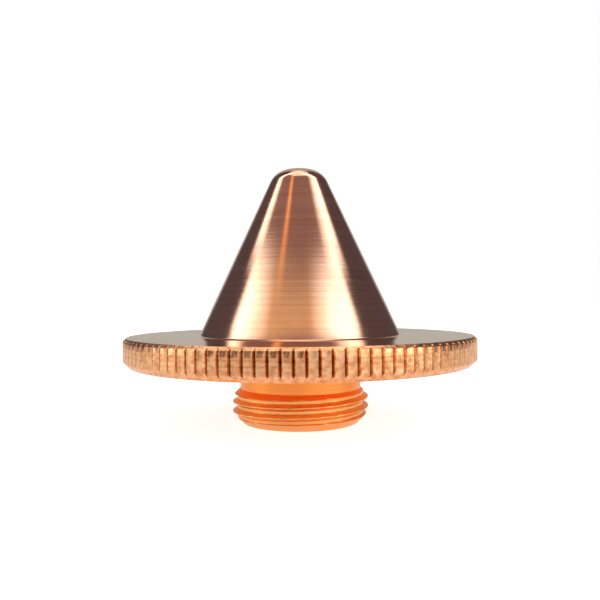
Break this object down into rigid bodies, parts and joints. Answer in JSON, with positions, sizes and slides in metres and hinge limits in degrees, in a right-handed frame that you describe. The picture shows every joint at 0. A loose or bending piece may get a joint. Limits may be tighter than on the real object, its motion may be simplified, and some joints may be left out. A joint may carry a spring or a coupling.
{
  "type": "plasma torch nozzle",
  "caption": "Turned copper nozzle: a rounded conical nose on a thin knurled flange, with a short threaded stub below and a funnel-shaped passage to a small orifice at the tip.",
  "frame": {"origin": "centre of the flange's underside, the seating face, on the axis", "axes": "+Z along the axis from the threaded stub to the tip; X and Y are alike, and one knurl groove lies on +X"},
  "size_m": [0.028, 0.028, 0.0205],
  "materials": {
    "copper": "turned and polished copper"
  },
  "bodies": {
    "root": {"nozzle_body": "copper"}
  },
  "joints": []
}
